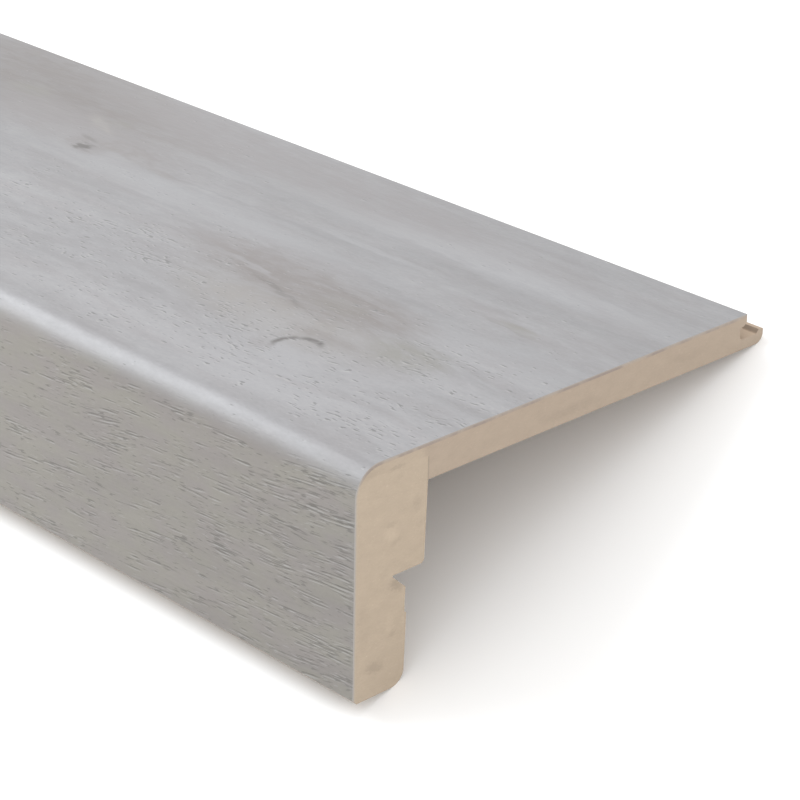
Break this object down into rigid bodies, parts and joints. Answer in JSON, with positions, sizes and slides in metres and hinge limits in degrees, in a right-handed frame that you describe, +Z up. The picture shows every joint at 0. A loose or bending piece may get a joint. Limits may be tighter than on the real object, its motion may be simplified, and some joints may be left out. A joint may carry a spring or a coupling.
{
  "type": "landing nosing",
  "caption": "Flush landing nosing for laminate flooring: a click-edge board over a glued nosing block, with the decor sheet wrapped over the nose.",
  "frame": {"origin": "centre of the footprint, on the floor that the loose part lies on", "axes": "+X along the stock, towards the end that the picture shows near; -Y the nose side; +Z up. The part lies tipped back by 21.7 degrees, on the block's rounded heel and the click edge's rounded tip"},
  "size_m": [2.3876, 0.1282, 0.0493],
  "materials": {
    "decor_laminate": "washed grey oak decor, embossed, satin",
    "board_core": "milled fibreboard, matt",
    "block_core": "sawn and milled fibreboard, matt"
  },
  "bodies": {
    "root": {"laminate_face": "decor_laminate", "click_board": "board_core", "nosing_block": "block_core"}
  },
  "joints": []
}
